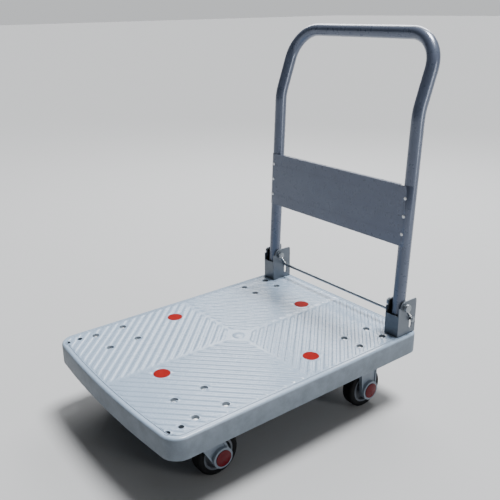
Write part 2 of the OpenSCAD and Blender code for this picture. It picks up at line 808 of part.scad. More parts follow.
module axle(x, y) {
    head_x = boss_out - recess_d;
    color(zinc) translate([x, y, 0]) {
        rod_x(-head_x - axle_head_h - axle_tail, [0, axle_z], axle_r, 2 * head_x + axle_head_h + axle_tail);
        hex_x(head_x, [0, axle_z], axle_head_r, axle_head_h);
    }
}

module axle_nut(x, y) {
    head_x = boss_out - recess_d;
    color(zinc) translate([x, y, 0]) difference() {
        hex_x(-head_x - axle_head_h, [0, axle_z], axle_head_r, axle_head_h);
        rod_x(-head_x - axle_head_h - over, [0, axle_z], axle_r, axle_head_h + 2 * over);
    }
}

// Domed caps over both ends of an axle
module hub_caps(x, y) {
    stem_l = 5;
    stem_r = recess_r - 0.2;
    stem_t = 2;
    rim_h = 1.5;
    rise = hub_cap_h - rim_h;
    dome_r = (hub_cap_r * hub_cap_r + rise * rise) / (2 * rise);
    color(hub_red) translate([x, y, axle_z]) for (s = SIDES) on_side(s) translate([boss_out, 0, 0])
        rotate([0, 90, 0]) {
            cylinder(r = hub_cap_r, h = rim_h);
            intersection() {
                translate([0, 0, hub_cap_h - dome_r]) sphere(r = dome_r, $fn = 96);
                translate([0, 0, rim_h - eps]) cylinder(r = hub_cap_r, h = hub_cap_h);
            }
            difference() {
                translate([0, 0, -stem_l]) cylinder(r = stem_r, h = stem_l + eps);
                translate([0, 0, -stem_l - over]) cylinder(r = stem_r - stem_t, h = stem_l + over);
            }
        }
}

// Everything that turns is drawn round the axle line and then laid along X
module on_axle(x, y) {
    translate([x, y, axle_z]) rotate([0, 90, 0]) children();
}

module wheel_core(x, y) {
    half = tyre_w / 2;
    rim_step = 5;
    disc_half = 4;
    boss_r = bearing_r + 3;
    color(fork_grey) on_axle(x, y) rotate_extrude() difference() {
        union() {
            translate([core_r - rim_step, 1 - half]) square([rim_step, 2 * half - 2]);
            translate([bearing_r, -disc_half]) square([core_r - bearing_r - 1, 2 * disc_half]);
            translate([axle_r + 3, -hub_half]) square([boss_r - axle_r - 3, 2 * hub_half]);
        }
        for (k = SIDES)
            translate([0, k * (hub_half - bearing_w / 2) - bearing_w / 2]) square([bearing_r, bearing_w]);
    }
}

module tyre(x, y) {
    shoulder = 6;
    half = tyre_w / 2;
    color(tyre_black) on_axle(x, y) rotate_extrude($fn = 96) {
        translate([core_r, -half]) square([tread_t - shoulder, tyre_w]);
        translate([core_r, shoulder - half]) square([tread_t, tyre_w - 2 * shoulder]);
        for (k = SIDES) translate([wheel_r - shoulder, k * (half - shoulder)]) circle(r = shoulder);
    }
}

module bearings(x, y) {
    groove = 0.6;
    inner_ring = 2.5;
    outer_ring = 2;
    color(zinc) on_axle(x, y) for (k = SIDES)
        translate([0, 0, k * (hub_half - bearing_w / 2)]) rotate_extrude() difference() {
            translate([axle_r + run_fit, -bearing_w / 2])
                square([bearing_r - axle_r - run_fit, bearing_w]);
            for (j = SIDES) translate([axle_r + inner_ring, j * bearing_w / 2 - groove])
                square([bearing_r - axle_r - inner_ring - outer_ring, 2 * groove]);
        }
}

// ---- caster fasteners ----

module caster_bolts() {
    head_z = deck_top - bolt_sink - bolt_head_h;
    end_z = plate_z - bolt_nut_h - bolt_tail;
    dome_r = (bolt_head_r * bolt_head_r + bolt_head_h * bolt_head_h) / (2 * bolt_head_h);
    color(zinc) at_places(caster_bolt_places) {
        translate([0, 0, end_z]) cylinder(r = bolt_r, h = head_z - end_z + eps);
        intersection() {
            translate([0, 0, head_z]) cylinder(r = bolt_head_r, h = bolt_head_h);
            translate([0, 0, head_z + bolt_head_h - dome_r]) sphere(r = dome_r);
        }
    }
}

module caster_nuts() {
    color(zinc) at_places(caster_bolt_places) translate([0, 0, plate_z - bolt_nut_h]) difference() {
        cylinder(r = bolt_nut_r, h = bolt_nut_h, $fn = 6);
        translate([0, 0, -over]) cylinder(r = bolt_r, h = bolt_nut_h + 2 * over);
    }
}

deck();
deck_caps();
bracket(-1);  // bracket_left
bracket(1);  // bracket_right
bracket_gaskets();
bracket_bolts();
bracket_nuts();
pivot_liners(-1);  // pivot_liners_left
pivot_liners(1);  // pivot_liners_right
pivot_bolt(-1);  // pivot_bolt_left
pivot_bolt(1);  // pivot_bolt_right
pivot_nuts();
lock_rod();
rod_retainers();
lock_springs(-1);  // lock_springs_left
lock_springs(1);  // lock_springs_right
handle_tube();
handle_panel();
panel_rivets();
foot_plugs();
swivel_plate(-1);  // swivel_plate_left
swivel_plate(1);  // swivel_plate_right
kingpin(-1);  // kingpin_left
kingpin(1);  // kingpin_right
kingpin_nuts();
race_balls(-1);  // race_balls_left
race_balls(1);  // race_balls_right
swivel_fork(-1);  // swivel_fork_left
swivel_fork(1);  // swivel_fork_right
axle(-swivel_x, front_axle_y);  // swivel_axle_left
axle(swivel_x, front_axle_y);  // swivel_axle_right
axle_nut(-swivel_x, front_axle_y);  // swivel_axle_nut_left
axle_nut(swivel_x, front_axle_y);  // swivel_axle_nut_right
hub_caps(-swivel_x, front_axle_y);  // swivel_hub_caps_left
hub_caps(swivel_x, front_axle_y);  // swivel_hub_caps_right
rigid_plate(-1);  // rigid_plate_left
rigid_plate(1);  // rigid_plate_right
rigid_fork(-1);  // rigid_fork_left
rigid_fork(1);  // rigid_fork_right
fork_screws();
axle(-rigid_x, rigid_y);  // rigid_axle_left
axle(rigid_x, rigid_y);  // rigid_axle_right
for (s = SIDES) axle_nut(s * rigid_x, rigid_y);  // rigid_axle_nuts
for (s = SIDES) hub_caps(s * rigid_x, rigid_y);  // rigid_hub_caps
caster_bolts();
caster_nuts();
wheel_core(-swivel_x, front_axle_y);  // front_core_left
wheel_core(swivel_x, front_axle_y);  // front_core_right
wheel_core(-rigid_x, rigid_y);  // rear_core_left
wheel_core(rigid_x, rigid_y);  // rear_core_right
tyre(-swivel_x, front_axle_y);  // front_tyre_left
tyre(swivel_x, front_axle_y);  // front_tyre_right
tyre(-rigid_x, rigid_y);  // rear_tyre_left
tyre(rigid_x, rigid_y);  // rear_tyre_right
bearings(-swivel_x, front_axle_y);  // front_bearings_left
bearings(swivel_x, front_axle_y);  // front_bearings_right
bearings(-rigid_x, rigid_y);  // rear_bearings_left
bearings(rigid_x, rigid_y);  // rear_bearings_right
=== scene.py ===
import bmesh
import bpy
import json
import math
from mathutils import Matrix, Vector
from mathutils.geometry import delaunay_2d_cdt


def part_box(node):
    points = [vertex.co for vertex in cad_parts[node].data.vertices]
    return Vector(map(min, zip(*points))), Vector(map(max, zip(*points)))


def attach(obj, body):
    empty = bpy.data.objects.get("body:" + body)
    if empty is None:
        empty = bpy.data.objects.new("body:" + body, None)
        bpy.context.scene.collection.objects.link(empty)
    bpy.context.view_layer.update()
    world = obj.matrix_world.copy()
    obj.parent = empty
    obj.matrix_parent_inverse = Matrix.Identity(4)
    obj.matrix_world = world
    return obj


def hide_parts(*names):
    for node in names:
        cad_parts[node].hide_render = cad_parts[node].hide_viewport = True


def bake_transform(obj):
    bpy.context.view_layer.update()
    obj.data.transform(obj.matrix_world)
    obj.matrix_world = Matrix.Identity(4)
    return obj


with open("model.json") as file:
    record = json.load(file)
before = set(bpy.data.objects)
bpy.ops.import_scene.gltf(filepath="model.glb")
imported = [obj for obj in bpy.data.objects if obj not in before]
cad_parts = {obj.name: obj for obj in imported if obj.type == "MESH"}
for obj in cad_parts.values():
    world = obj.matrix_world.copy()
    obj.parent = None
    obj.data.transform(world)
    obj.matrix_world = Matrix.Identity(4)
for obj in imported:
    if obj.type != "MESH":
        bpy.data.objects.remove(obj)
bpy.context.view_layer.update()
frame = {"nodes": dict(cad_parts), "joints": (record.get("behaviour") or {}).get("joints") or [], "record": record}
MM = 0.001
SIDES = (-1, 1)


# ---------------------------------------------------------------- materials

def shader(name, metallic=0.0, coat=0.0, coat_rough=0.1, specular=0.5):
    """A new material, its node tree and its Principled shader."""
    mat = bpy.data.materials.new(name)
    mat.use_nodes = True
    tree = mat.node_tree
    bsdf = tree.nodes["Principled BSDF"]
    bsdf.inputs["Metallic"].default_value = metallic
    bsdf.inputs["Coat Weight"].default_value = coat
    bsdf.inputs["Coat Roughness"].default_value = coat_rough
    bsdf.inputs["Specular IOR Level"].default_value = specular
    return mat, tree, bsdf


def noise(tree, coords, scale, detail, rough):
    """A noise texture in object space."""
    n = tree.nodes.new("ShaderNodeTexNoise")
    n.inputs["Scale"].default_value = scale
    n.inputs["Detail"].default_value = detail
    n.inputs["Roughness"].default_value = rough
    tree.links.new(coords, n.inputs["Vector"])
    return n.outputs["Fac"]


def spread(tree, value, lo, hi, from_lo=0.3, from_hi=0.7):
    """Maps a noise value onto the range lo to hi."""
    m = tree.nodes.new("ShaderNodeMapRange")
    m.inputs["From Min"].default_value = from_lo
    m.inputs["From Max"].default_value = from_hi
    m.inputs["To Min"].default_value = lo
    m.inputs["To Max"].default_value = hi
    tree.links.new(value, m.inputs["Value"])
    return m.outputs["Result"]


def ramp(tree, value, stops):
    """A colour ramp through (place, colour) stops."""
    r = tree.nodes.new("ShaderNodeValToRGB")
    while len(r.color_ramp.elements) < len(stops):
        r.color_ramp.elements.new(0.5)
    for e, (place, colour) in zip(r.color_ramp.elements, stops):
        e.position = place
        e.color = (*colour, 1.0)
    tree.links.new(value, r.inputs["Fac"])
    return r.outputs["Color"]


def bump(tree, bsdf, height, distance, under=None):
    """Relief from a height value, laid over another relief when under is given."""
    b = tree.nodes.new("ShaderNodeBump")
    b.inputs["Strength"].default_value = 1.0
    b.inputs["Distance"].default_value = distance
    tree.links.new(height, b.inputs["Height"])
    if under:
        tree.links.new(under, b.inputs["Normal"])
    tree.links.new(b.outputs["Normal"], bsdf.inputs["Normal"])
    return b.outputs["Normal"]


def surface(name, dark, light, rough, *, blotch, grain, grain_depth, wave=0.0, wave_scale=25.0, **gloss):
    """Colour that drifts between two shades, uneven gloss, a fine grain and, with wave, a slow waviness.

    The three scales are per metre, and the two depths are in metres.
    """
    mat, tree, bsdf = shader(name, **gloss)
    coords = tree.nodes.new("ShaderNodeTexCoord").outputs["Object"]
    base = noise(tree, coords, blotch, 4.0, 0.6)
    tree.links.new(ramp(tree, base, [(0.3, dark), (0.7, light)]), bsdf.inputs["Base Color"])
    patch = noise(tree, coords, blotch * 6, 5.0, 0.65)
    tree.links.new(spread(tree, patch, *rough), bsdf.inputs["Roughness"])
    fine = noise(tree, coords, grain, 2.0, 0.5)
    under = None
    if wave:
        slow = noise(tree, coords, wave_scale, 2.0, 0.5)
        under = bump(tree, bsdf, slow, wave)
    bump(tree, bsdf, fine, grain_depth, under)
    return mat


# sockets of a Mix node: the factor, then the two numbers or the two colours, and what comes out
MIX_FACTOR, MIX_A, MIX_B, MIX_COLOUR_A, MIX_COLOUR_B = 0, 2, 3, 6, 7
MIX_OUT, MIX_COLOUR_OUT = 0, 2
SKIRT_ROUGHNESS = 0.62
SKIRT_TILT = (0.25, 0.85)       # upright part of the normal between which skirt turns into top
SKIRT_CLOUD = 38.0              # cloudiness per metre


def skirt_painted_shade(mat, dark, light):
    """Paints shade into upright faces: a darker, cloudy colour than the top, and the rougher gloss of a coarse
    moulded wall.
    """
    tree = mat.node_tree
    bsdf = tree.nodes["Principled BSDF"]
    face = tree.nodes.new("ShaderNodeTexCoord")
    split = tree.nodes.new("ShaderNodeSeparateXYZ")
    tree.links.new(face.outputs["Normal"], split.inputs["Vector"])
    tilt = tree.nodes.new("ShaderNodeMath")
    tilt.operation = "ABSOLUTE"
    tree.links.new(split.outputs["Z"], tilt.inputs[0])
    level = spread(tree, tilt.outputs["Value"], 0.0, 1.0, *SKIRT_TILT)
    cloud = noise(tree, face.outputs["Object"], SKIRT_CLOUD, 5.0, 0.7)
    # painted shade: upright faces take the darker, cloudy colour instead of the top's colour
    mix = tree.nodes.new("ShaderNodeMix")
    mix.data_type = "RGBA"
    tree.links.new(level, mix.inputs[MIX_FACTOR])
    tree.links.new(ramp(tree, cloud, [(0.3, dark), (0.7, light)]), mix.inputs[MIX_COLOUR_A])
    tree.links.new(bsdf.inputs["Base Color"].links[0].from_socket, mix.inputs[MIX_COLOUR_B])
    tree.links.new(mix.outputs[MIX_COLOUR_OUT], bsdf.inputs["Base Color"])
    gloss = tree.nodes.new("ShaderNodeMix")
    tree.links.new(level, gloss.inputs[MIX_FACTOR])
    gloss.inputs[MIX_A].default_value = SKIRT_ROUGHNESS
    tree.links.new(bsdf.inputs["Roughness"].links[0].from_socket, gloss.inputs[MIX_B])
    tree.links.new(gloss.outputs[MIX_OUT], bsdf.inputs["Roughness"])


MATERIALS = {
    "deck_plastic": surface(
        "deck_plastic", (0.188, 0.247, 0.326), (0.214, 0.279, 0.365), (0.20, 0.34),
        blotch=5.0, grain=700.0, grain_depth=0.00004, wave=0.0004, coat=0.12, coat_rough=0.2),
    "cap_plastic": surface(
        "cap_plastic", (0.150, 0.0020, 0.0015), (0.180, 0.0030, 0.0020), (0.50, 0.62),
        blotch=60.0, grain=1500.0, grain_depth=0.00002, specular=0.05),
    "bracket_steel": surface(
        "bracket_steel", (0.094, 0.113, 0.138), (0.122, 0.142, 0.170), (0.28, 0.42),
        blotch=30.0, grain=600.0, grain_depth=0.00005, metallic=0.45, coat=0.2, coat_rough=0.25),
    "black_nylon": surface(
        "black_nylon", (0.005, 0.0055, 0.0065), (0.010, 0.0105, 0.012), (0.36, 0.52),
        blotch=50.0, grain=1200.0, grain_depth=0.00004),
    "zinc_plate": surface(
        "zinc_plate", (0.60, 0.62, 0.64), (0.76, 0.77, 0.78), (0.16, 0.32),
        blotch=70.0, grain=900.0, grain_depth=0.00002, metallic=1.0),
    "spring_steel": surface(
        "spring_steel", (0.55, 0.57, 0.59), (0.70, 0.71, 0.72), (0.18, 0.30),
        blotch=200.0, grain=1500.0, grain_depth=0.00001, metallic=1.0),
    "handle_paint": surface(
        "handle_paint", (0.083, 0.102, 0.150), (0.096, 0.117, 0.169), (0.25, 0.34),
        blotch=14.0, grain=1600.0, grain_depth=0.00002, wave=0.00015, wave_scale=60.0,
        metallic=0.35, coat=0.35, coat_rough=0.22),
    "fork_plastic": surface(
        "fork_plastic", (0.120, 0.150, 0.190), (0.145, 0.178, 0.220), (0.32, 0.46),
        blotch=25.0, grain=800.0, grain_depth=0.00005),
    "core_plastic": surface(
        "core_plastic", (0.070, 0.080, 0.098), (0.085, 0.097, 0.115), (0.36, 0.50),
        blotch=30.0, grain=800.0, grain_depth=0.00005),
    "hub_plastic": surface(
        "hub_plastic", (0.070, 0.0008, 0.0040), (0.090, 0.0012, 0.0055), (0.14, 0.22),
        blotch=60.0, grain=1500.0, grain_depth=0.00001, specular=0.16, coat=0.05, coat_rough=0.1),
    "tyre": surface(
        "tyre", (0.0020, 0.0022, 0.0026), (0.0045, 0.0050, 0.0058), (0.55, 0.75),
        blotch=40.0, grain=500.0, grain_depth=0.00008, wave=0.0001, wave_scale=90.0, specular=0.12),
    "bearing_steel": surface(
        "bearing_steel", (0.62, 0.63, 0.64), (0.74, 0.75, 0.76), (0.10, 0.18),
        blotch=120.0, grain=1500.0, grain_depth=0.00001, metallic=1.0),
}
# painted shade: the deck's upright faces are coloured darker than its top
skirt_painted_shade(MATERIALS["deck_plastic"], (0.105, 0.132, 0.164), (0.160, 0.198, 0.241))
# two more steels for nodes that share the zinc_plate slot: a darker copy with painted shade, and a lighter, more
# diffuse copy with a painted highlight
# painted shade: a darker copy of the zinc steel for the lock rod, its retainers and the pivot bolts and nuts
STEEL_PAINTED_SHADE = surface(
    "steel_with_painted_shade", (0.21, 0.235, 0.26), (0.32, 0.345, 0.375), (0.24, 0.38),
    blotch=60.0, grain=900.0, grain_depth=0.00003, metallic=0.9)
# painted highlight: a lighter, more diffuse copy of the zinc steel, so bolt heads and rivets read as lit
STEEL_PAINTED_HIGHLIGHT = surface(
    "steel_with_painted_highlight", (0.78, 0.79, 0.80), (0.90, 0.90, 0.90), (0.30, 0.45),
    blotch=90.0, grain=900.0, grain_depth=0.00002, metallic=0.4)
PAINTED_HIGHLIGHT_STEEL_NODES = ("caster_bolts", "panel_rivets")
PAINTED_SHADE_STEEL_NODES = ("lock_rod", "rod_retainers", "pivot_bolt_left", "pivot_bolt_right", "pivot_nuts")
SLOT_OF = {s["node"]: s["material_slot"] for s in frame["record"]["subparts"]}


# ---------------------------------------------------------------- mesh helpers

def piece(name, bm, slot_name, body, *nodes, smooth_angle):
    """Makes an object from a bmesh in millimetres, which stands for the CAD nodes and rides on a body.

    A piece given no body rides on none.
    """
    mesh = bpy.data.meshes.new(name)
    bmesh.ops.recalc_face_normals(bm, faces=bm.faces)
    bm.to_mesh(mesh)
    bm.free()
    mesh.transform(Matrix.Scale(MM, 4))
    mesh.polygons.foreach_set("use_smooth", [True] * len(mesh.polygons))
    mesh.set_sharp_from_angle(angle=math.radians(smooth_angle))
    mesh.materials.append(MATERIALS[slot_name])
    obj = bpy.data.objects.new(name, mesh)
    bpy.context.scene.collection.objects.link(obj)
    if body:
        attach(obj, body)
    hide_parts(*nodes)
    return obj


def bridge(bm, a, b):
    """Quads between two closed rings of vertices with the same count."""
    n = len(a)
    for i in range(n):
        bm.faces.new((a[i], a[(i + 1) % n], b[(i + 1) % n], b[i]))


def ring(bm, points, z):
    """New vertices at the points, all at height z."""
    return [bm.verts.new((x, y, z)) for x, y in points]


def circle(cx, cy, r, n):
    """Points round a circle."""
    return [(cx + r * math.cos(2 * math.pi * i / n), cy + r * math.sin(2 * math.pi * i / n))
            for i in range(n)]


def lathe(bm, cx, cy, profile, n=40):
    """A closed ring turned round a vertical axis; profile is a closed loop of (radius, z)."""
    rings = [ring(bm, circle(cx, cy, r, n), z) for r, z in profile]
    for a, b in zip(rings, rings[1:] + rings[:1]):
        bridge(bm, a, b)


def block(bm, lo, hi, bevel=0.4):
    """A closed box with softened edges."""
    made = bmesh.ops.create_cube(bm, size=1.0)["verts"]
    for v in made:
        v.co = Vector([lo[i] if v.co[i] < 0 else hi[i] for i in range(3)])
    edges = list(dict.fromkeys(e for v in made for e in v.link_edges))
    bmesh.ops.bevel(bm, geom=edges, offset=bevel, segments=2, profile=0.5, affect="EDGES")


def box_mm(node):
    """Lowest and highest corners of a CAD node at rest, in millimetres."""
    lo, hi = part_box(node)
    return lo / MM, hi / MM


# ---------------------------------------------------------------- deck

deck_lo, deck_hi = box_mm("deck")
plate_lo, plate_hi = box_mm("swivel_plate_right")
fixed_lo, fixed_hi = box_mm("rigid_plate_right")
MOUNT_Z = deck_lo.z                             # where the casters bolt on
DECK_TOP = box_mm("bracket_gaskets")[0].z
HALF_W = deck_hi.x
BOW = 10.5                                      # how far the front end bulges
FRONT = deck_lo.y + BOW
REAR = deck_hi.y
MID_Y = (FRONT + REAR) / 2
FRONT_R, REAR_R, EDGE_R, WALL = 40.0, 28.0, 6.0, 4.0
CAP_R, CAP_GAP, CAP_FLOOR = 18.7, 0.3, 12.0
CAP_SIDE, CAP_MID, CAP_SEAM, CAP_END = 77.6, 66.6, 35.6, 116.7
SINK_R, SINK_DEPTH, BOLT_HOLE_R, BOSS_WALL = 8.5, 8.4, 4.4, 3.5
CORNER_HOLE_R, CORNER_HOLE_SIDE, CORNER_HOLE_END, CORNER_HOLE_GAP = 6.25, 34.0, 14.5, 30.5
BRACKET_BOLT_FRONT, BRACKET_BOLT_REAR = 16.0, 9.0
BRACKET_BOSS_R, BRACKET_BOSS_H = 12.0, 18.0
PLATE_EDGE = 10.0                               # from a caster plate's edge to its bolts
PLATE_PAD, PLATE_PAD_H, PLATE_PAD_SOFT = 15.0, 8.0, 0.8    # past the bolts, height, softened edge
RIB_HALF, RIB_DEPTH = 1.5, 28.0                 # stiffening ribs below the top
RIB_X, RIB_Y = 71.2, 61.25                      # the inner lengthwise ribs, and the first cross rib
SIDE_RIB_INSET = 14.0
HOLE_SIDES = 40

# the tread: its ribs, the plain bands round holes and seams, and the round pad in the middle
PAD_R, PAD_H, PAD_SIDES = 15.0, 0.8, 48
TREAD_PITCH, TREAD_RISE, TREAD_WALL = 17.6, 1.5, (3.0, 5.2)
TREAD_REACH = 460.0
FIELD_INSET, FIELD_LOW = 13.0, -0.45
SEAM_HALF, SEAM_FADE = 4.5, 3.5
CAP_BAND, HOLE_BAND, BAND_FADE, BAND_SLOPE = 2.2, 1.0, 3.0, 1.6
BORDER_FADE, PAD_FADE = (1.0, 5.0), (14.0, 19.0)            # ribs grow over these distances
BRACKET_FADE, BRACKET_SLOPE = (2.0, 5.0), (1.0, 3.0)

# the mesh points of the tread: places across a rib, steps, and how far they keep from other lines
RIB_STOPS = (0.0, 2.8, 3.7, 4.6, 5.5)
RIB_STEP, SEAM_STEP = 4.4, 6.0
MIDDLE_CLEAR, SEAM_CLEAR, SEAM_END_CLEAR = 2.2, 1.2, 3.0
BORDER_CLEAR, HOLE_CLEAR, PAD_CLEAR = 1.6, 5.4, 2.5

swivel_x, swivel_y = (plate_lo.x + plate_hi.x) / 2, (plate_lo.y + plate_hi.y) / 2
fixed_x, fixed_y = (fixed_lo.x + fixed_hi.x) / 2, (fixed_lo.y + fixed_hi.y) / 2
swivel_half = ((plate_hi.x - plate_lo.x) / 2 - PLATE_EDGE, (plate_hi.y - plate_lo.y) / 2 - PLATE_EDGE)
fixed_half = ((fixed_hi.x - fixed_lo.x) / 2 - PLATE_EDGE, (fixed_hi.y - fixed_lo.y) / 2 - PLATE_EDGE)
casters = ((swivel_x, swivel_y, swivel_half), (fixed_x, fixed_y, fixed_half))
bolt_places = [
    (s * cx + i * half[0], cy + j * half[1])
    for cx, cy, half in casters for s in SIDES for i in SIDES for j in SIDES
]
corner_places = [
    (s * (HALF_W - CORNER_HOLE_SIDE), FRONT + CORNER_HOLE_END + k * CORNER_HOLE_GAP)
    for s in SIDES for k in (0, 1)
]
bracket_lo, bracket_hi = box_mm("bracket_right")
bracket_x = (bracket_lo.x + bracket_hi.x) / 2
bracket_half = (bracket_hi.x - bracket_lo.x) / 2
bracket_bolts = [
    (s * bracket_x, y) for s in SIDES
    for y in (bracket_lo.y + BRACKET_BOLT_FRONT, bracket_hi.y - BRACKET_BOLT_REAR)
]
cap_places = [(s * (HALF_W - CAP_SIDE), MID_Y + s * CAP_MID) for s in SIDES]
cap_places += [(-s * CAP_SEAM, MID_Y + s * ((REAR - FRONT) / 2 - CAP_END)) for s in SIDES]


def arc(cx, cy, r, a0, a1, n):
    """Points on an arc between two angles in degrees, both ends included."""
    return [(cx + r * math.cos(math.radians(a0 + (a1 - a0) * i / n)),
             cy + r * math.sin(math.radians(a0 + (a1 - a0) * i / n))) for i in range(n + 1)]


def straight(a, b, n):
    """Points between a and b, both ends left out."""
    return [(a[0] + (b[0] - a[0]) * i / n, a[1] + (b[1] - a[1]) * i / n) for i in range(1, n)]


def outline(t):
    """The deck's outline in plan, moved inwards by t, with the same number of points for any t."""
    bow_half = HALF_W - FRONT_R
    bow_r = (bow_half ** 2 + BOW ** 2) / (2 * BOW)
    bow_a = math.degrees(math.asin(bow_half / bow_r))
    parts = [
        arc(HALF_W - REAR_R, REAR - REAR_R, REAR_R - t, 0, 90, 14),
        arc(REAR_R - HALF_W, REAR - REAR_R, REAR_R - t, 90, 180, 14),
        arc(-bow_half, FRONT + FRONT_R, FRONT_R - t, 180, 270 - bow_a, 16),
        arc(0, FRONT - BOW + bow_r, bow_r - t, 270 - bow_a + 0.4, 270 + bow_a - 0.4, 40),
        arc(bow_half, FRONT + FRONT_R, FRONT_R - t, 270 + bow_a, 360, 16),
    ]
    steps = (24, 34, 1, 1, 34)
    points = []
    for i, part in enumerate(parts):
        points += part
        points += straight(part[-1], parts[(i + 1) % len(parts)][0], steps[i])
    return points


def crossings(points, axis, value):
    """Lowest and highest place where a line of constant x (axis 0) or y (axis 1) meets the outline."""
    hits = []
    for a, b in zip(points, points[1:] + points[:1]):
        if (a[axis] - value) * (b[axis] - value) < 0:
            k = (value - a[axis]) / (b[axis] - a[axis])
            hits.append(a[1 - axis] + k * (b[1 - axis] - a[1 - axis]))
    return min(hits), max(hits)


def step(value, lo, hi):
    """Rises smoothly from 0 at lo to 1 at hi."""
    t = min(max((value - lo) / (hi - lo), 0.0), 1.0)
    return t * t * (3 - 2 * t)


HOLES = [(*p, SINK_R) for p in bolt_places] + [(*p, CORNER_HOLE_R) for p in corner_places]
HOLES += [(*p, CAP_R + CAP_GAP) for p in cap_places] + [(*p, BOLT_HOLE_R) for p in bracket_bolts]


def edge_distance(x, y):
    """Roughly how far a point lies inside the deck's outline."""
    return min(HALF_W - abs(x), REAR - y, y - FRONT + BOW * (1 - (x / HALF_W) ** 2))


def tread(x, y):
    """Height of the top above the deck's level: diamond ribs that fade out at seams, rims and holes."""
    dy = y - MID_Y
    u = (abs(x) + abs(dy)) / math.sqrt(2)
    from_valley = abs((u % TREAD_PITCH) - TREAD_PITCH / 2)
    rib = TREAD_RISE * step(from_valley, *TREAD_WALL)
    keep = step(min(abs(x), abs(dy)), SEAM_HALF, SEAM_HALF + SEAM_FADE)
    keep *= step(edge_distance(x, y) - FIELD_INSET, *BORDER_FADE)
    keep *= step(math.hypot(x, dy) - PAD_R, *PAD_FADE)
    flat = 0.0
    for hx, hy, r in HOLES:
        band = r + (CAP_BAND if r > CAP_R else HOLE_BAND)
        d = math.hypot(x - hx, y - hy)
        if d < band + BAND_FADE:
            keep *= step(d, band, band + BAND_FADE)
            flat = max(flat, 1 - step(d, band, band + BAND_SLOPE))
    for s in SIDES:
        out = max(abs(x - s * bracket_x) - bracket_half, bracket_lo.y - y, y - bracket_hi.y)
        keep *= step(out, *BRACKET_FADE)
        flat = max(flat, 1 - step(out, *BRACKET_SLOPE))
    return FIELD_LOW * (1 - flat) + rib * keep


def in_outline(points, x, y):
    """Whether a point lies inside a closed loop of points."""
    inside = False
    for (x0, y0), (x1, y1) in zip(points, points[1:] + points[:1]):
        if (y0 > y) != (y1 > y) and x < x0 + (x1 - x0) * (y - y0) / (y1 - y0):
            inside = not inside
    return inside


def in_rounded_corner(ax, y):
    """Whether a point near a corner of the deck lies outside the field's rounded corner."""
    for radius, centre, beyond in ((FRONT_R, FRONT + FRONT_R, -1), (REAR_R, REAR - REAR_R, 1)):
        corner = HALF_W - radius
        if ax > corner and beyond * (y - centre) > 0:
            if math.hypot(ax - corner, y - centre) > radius - FIELD_INSET - BORDER_CLEAR:
                return True
    return False


def field_points():
    """Points that follow the ribs, so that each crest and valley is a clean line."""
    half = TREAD_PITCH / 2
    stops = [*RIB_STOPS, half]
    stops += [TREAD_PITCH - k for k in reversed(RIB_STOPS[1:])]
    lines = [half + n * TREAD_PITCH + k for n in range(-1, int(TREAD_REACH / TREAD_PITCH)) for k in stops]
    points = []
    for sx, sy in ((i, j) for i in SIDES for j in SIDES):
        for u in lines:
            if u < MIDDLE_CLEAR:
                continue
            n = int(u / RIB_STEP)
            for j in range(-n, n + 1):
                v = j * RIB_STEP
                ax, ay = (u + v) / math.sqrt(2), (u - v) / math.sqrt(2)
                if ax < SEAM_CLEAR or ay < SEAM_CLEAR:
                    continue
                x, y = sx * ax, MID_Y + sy * ay
                if edge_distance(x, y) < FIELD_INSET + BORDER_CLEAR or in_rounded_corner(ax, y):
                    continue
                if any(math.hypot(x - hx, y - hy) < r + HOLE_CLEAR for hx, hy, r in HOLES):
                    continue
                if math.hypot(x, y - MID_Y) < PAD_R + PAD_CLEAR:
                    continue
                points.append((x, y))
    # the two seams
    for axis, centre, across in ((0, MID_Y, 0.0), (1, 0.0, MID_Y)):
        lo, hi = crossings(outline(FIELD_INSET), axis, across)
        k = lo + SEAM_END_CLEAR
        while k < hi - SEAM_END_CLEAR:
            if abs(k - centre) > PAD_R + SEAM_END_CLEAR:
                points.append((0.0, k) if axis == 0 else (k, MID_Y))
            k += SEAM_STEP
    return points


def triangles(outer, holes, extra, rings=()):
    """Triangulates the region inside outer and outside the holes.

    Returns the points, the triangles, and for outer and each hole the indices of its points.
    """
    coords = [Vector(p) for p in outer]
    edges = [(i, (i + 1) % len(outer)) for i in range(len(outer))]
    loops = [list(outer)]
    for hx, hy, r, n in holes:
        start = len(coords)
        loop = circle(hx, hy, r, n)
        coords += [Vector(p) for p in loop]
        edges += [(start + i, start + (i + 1) % n) for i in range(n)]
        loops.append(loop)
    coords += [Vector(p) for loop in rings for p in loop]
    coords += [Vector(p) for p in extra]
    verts, _, faces, orig, _, _ = delaunay_2d_cdt(coords, edges, [], 0, 1e-5)
    place = {}
    for new, olds in enumerate(orig):
        for old in olds:
            place[old] = new
    keep = []
    for f in faces:
        c = sum((verts[i] for i in f), Vector((0, 0))) / len(f)
        if any(math.hypot(c.x - hx, c.y - hy) < r * math.cos(math.pi / n) for hx, hy, r, n in holes):
            continue
        if edge_distance(c.x, c.y) < 30 and not in_outline(loops[0], c.x, c.y):
            continue
        keep.append(tuple(f))
    borders, start = [], 0
    for loop in loops:
        borders.append([place[i] for i in range(start, start + len(loop))])
        start += len(loop)
    return verts, keep, borders


def deck_profile():
    """The rim, the rounded edge, the skirt and its lip: (inset, height above the deck's top)."""
    low = MOUNT_Z - DECK_TOP
    profile = [(12.8, 0.15), (11.8, 0.15), (11.2, -1.0), (7.2, -1.0), (6.5, 0.0), (EDGE_R, 0.0)]
    profile += [(EDGE_R * (1 - math.cos(math.radians(a))), -EDGE_R * (1 - math.sin(math.radians(a))))
                for a in range(80, -1, -10)]
    profile += [(0.0, low + 1.2), (0.35, low + 0.35), (1.2, low), (WALL - 0.8, low), (WALL, low + 0.8)]
    return profile + [(WALL, -WALL)]


def top_height(x, y):
    """Height of the top above the deck's level, with the round pad in the middle."""
    d = math.hypot(x, y - MID_Y)
    if d < PAD_R + 0.3:
        return PAD_H * (1 - step(d, PAD_R - 1.3, PAD_R + 0.3) * 0.9)
    return tread(x, y)


